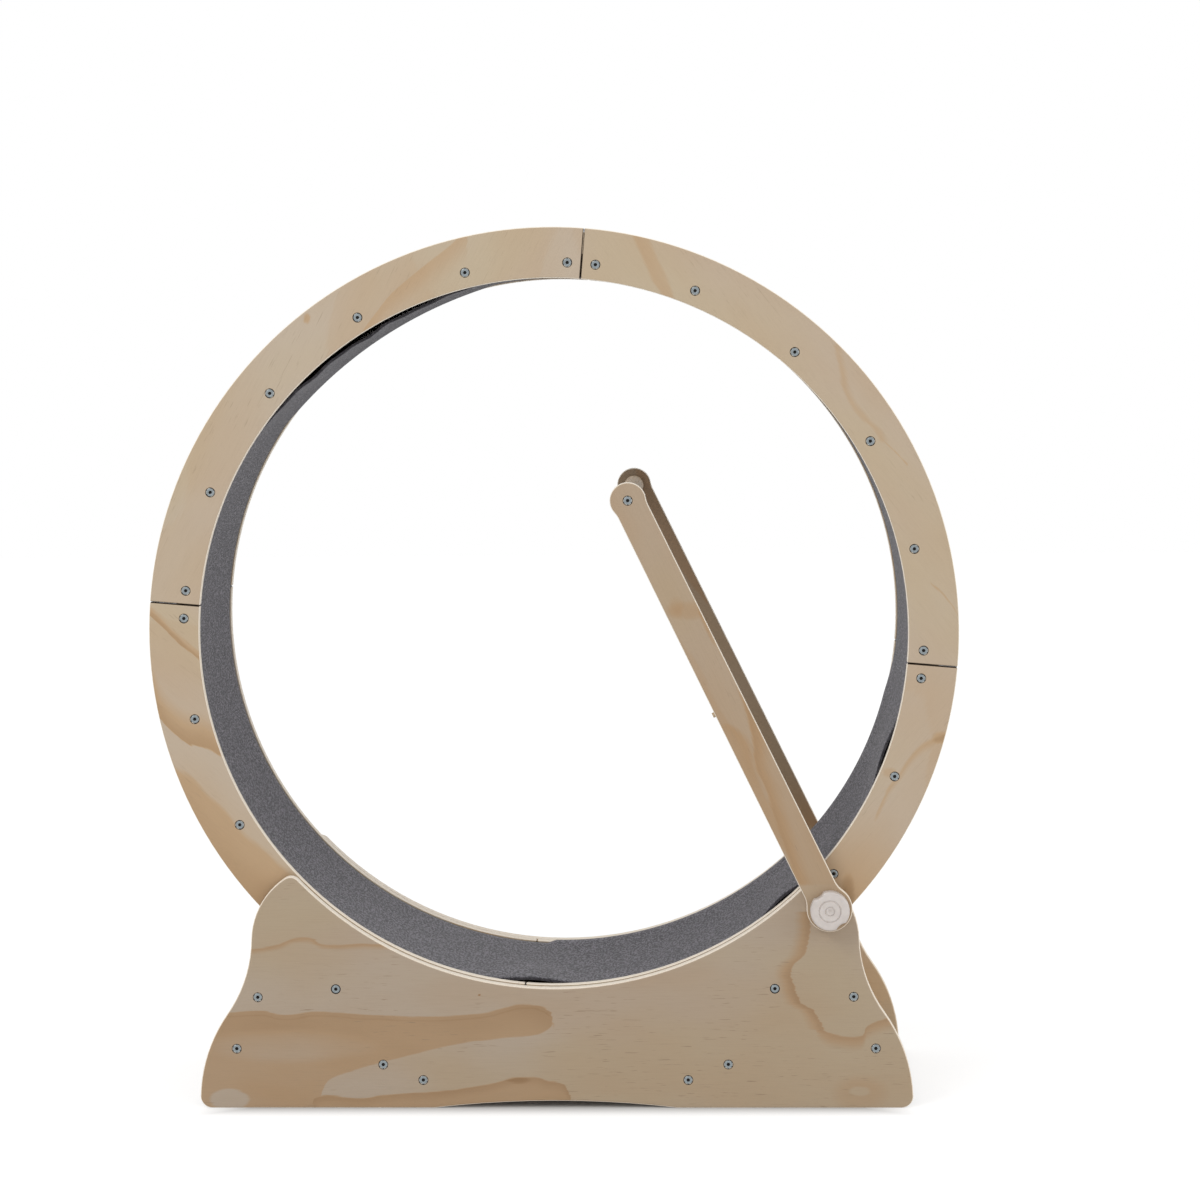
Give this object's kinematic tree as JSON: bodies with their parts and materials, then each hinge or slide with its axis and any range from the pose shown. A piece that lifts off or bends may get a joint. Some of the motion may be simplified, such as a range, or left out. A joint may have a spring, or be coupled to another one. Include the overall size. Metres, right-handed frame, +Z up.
{
  "type": "cat exercise wheel",
  "caption": "Free-standing wooden exercise wheel for a cat, felt-lined, running on grooved rollers between two shaped side panels, with a clamped forked arm for a hanging toy.",
  "frame": {"origin": "on the floor, under the middle of the wheel and midway between the two side panels", "axes": "+Z up; +X along the side panels, towards the knobs' side; +Y along the wheel's axle line, from the front to the rear"},
  "size_m": [0.9958, 0.3984, 1.0842],
  "materials": {
    "ring_ply": "clear matt varnish on pale ply",
    "batten_pine": "planed softwood",
    "track_board": "thin bent board, bare",
    "felt": "needled felt, heathered grey",
    "screw_steel": "zinc plated",
    "panel_ply": "clear matt varnish on pale ply",
    "cross_board": "clear matt varnish on pale ply",
    "roller_nylon": "moulded",
    "bearing_steel": "ground",
    "axle_steel": "zinc plated",
    "spacer_nylon": "moulded",
    "arm_ply": "clear matt varnish on pale ply",
    "crossbar_wood": "turned and sanded",
    "peg_wood": "turned and sanded",
    "knob_plastic": "moulded, off-white",
    "stud_steel": "zinc plated"
  },
  "bodies": {
    "base": {"front_panel": "panel_ply", "rear_panel": "panel_ply", "left_end_board": "cross_board", "left_low_board": "cross_board", "right_end_board": "cross_board", "right_low_board": "cross_board", "panel_screws": "screw_steel", "axle_bolts": "axle_steel", "axle_spacers": "spacer_nylon", "axle_nuts": "axle_steel", "knob_tee_nuts": "stud_steel"},
    "wheel": {"front_ring_arc_1": "ring_ply", "rear_ring_arc_1": "ring_ply", "front_ring_arc_2": "ring_ply", "rear_ring_arc_2": "ring_ply", "front_ring_arc_3": "ring_ply", "rear_ring_arc_3": "ring_ply", "front_ring_arc_4": "ring_ply", "rear_ring_arc_4": "ring_ply", "cross_batten_01": "batten_pine", "cross_batten_02": "batten_pine", "cross_batten_03": "batten_pine", "cross_batten_04": "batten_pine", "cross_batten_05": "batten_pine", "cross_batten_06": "batten_pine", "cross_batten_07": "batten_pine", "cross_batten_08": "batten_pine", "cross_batten_09": "batten_pine", "cross_batten_10": "batten_pine", "cross_batten_11": "batten_pine", "cross_batten_12": "batten_pine", "cross_batten_13": "batten_pine", "cross_batten_14": "batten_pine", "cross_batten_15": "batten_pine", "cross_batten_16": "batten_pine", "seam_batten_1": "batten_pine", "seam_batten_2": "batten_pine", "seam_batten_3": "batten_pine", "seam_batten_4": "batten_pine", "track_board_1": "track_board", "track_board_2": "track_board", "track_board_3": "track_board", "track_board_4": "track_board", "felt_lining": "felt", "front_ring_screws": "screw_steel", "rear_ring_screws": "screw_steel"},
    "left_rollers": {"left_rollers": "roller_nylon", "left_bearings": "bearing_steel"},
    "right_rollers": {"right_rollers": "roller_nylon", "right_bearings": "bearing_steel"},
    "toy_arm": {"front_arm": "arm_ply", "rear_arm": "arm_ply", "arm_crossbar": "crossbar_wood", "crossbar_screws": "screw_steel", "toy_peg": "peg_wood"},
    "front_knob_stud": {"front_knob_stud": "stud_steel"},
    "front_knob": {"front_knob": "knob_plastic"},
    "rear_knob_stud": {"rear_knob_stud": "stud_steel"},
    "rear_knob": {"rear_knob": "knob_plastic"}
  },
  "joints": [
    {"name": "wheel_spin", "type": "hinge", "parent": "base", "child": "wheel", "pos_m": [0, 0, 0.5863], "axis": [0, 1, 0], "continuous": true},
    {"name": "left_rollers_spin", "type": "hinge", "parent": "base", "child": "left_rollers", "pos_m": [-0.27096, 0, 0.14929], "axis": [0, 1, 0], "continuous": true},
    {"name": "right_rollers_spin", "type": "hinge", "parent": "base", "child": "right_rollers", "pos_m": [0.27096, 0, 0.14929], "axis": [0, 1, 0], "continuous": true},
    {"name": "toy_arm_tilt", "type": "hinge", "parent": "base", "child": "toy_arm", "pos_m": [0.338, 0, 0.25], "axis": [0, 1, 0], "range_deg": [-64, 26]},
    {"name": "front_knob_travel", "type": "slide", "parent": "base", "child": "front_knob_stud", "axis": [0, -1, 0], "range_m": [0, 0.00251]},
    {"name": "front_knob_turn", "type": "hinge", "parent": "front_knob_stud", "child": "front_knob", "pos_m": [0.338, -0.1912, 0.25], "axis": [0, -1, 0], "range_deg": [0, 720]},
    {"name": "rear_knob_travel", "type": "slide", "parent": "base", "child": "rear_knob_stud", "axis": [0, 1, 0], "range_m": [0, 0.00251]},
    {"name": "rear_knob_turn", "type": "hinge", "parent": "rear_knob_stud", "child": "rear_knob", "pos_m": [0.338, 0.1912, 0.25], "axis": [0, 1, 0], "range_deg": [0, 720]}
  ],
  "couplings": [
    {"joint": "left_rollers_spin", "follows": "wheel_spin", "ratio": -31.321},
    {"joint": "right_rollers_spin", "follows": "wheel_spin", "ratio": -31.321},
    {"joint": "front_knob_travel", "follows": "front_knob_turn", "m_per_rad": 0.00019894},
    {"joint": "rear_knob_travel", "follows": "rear_knob_turn", "m_per_rad": 0.00019894}
  ]
}
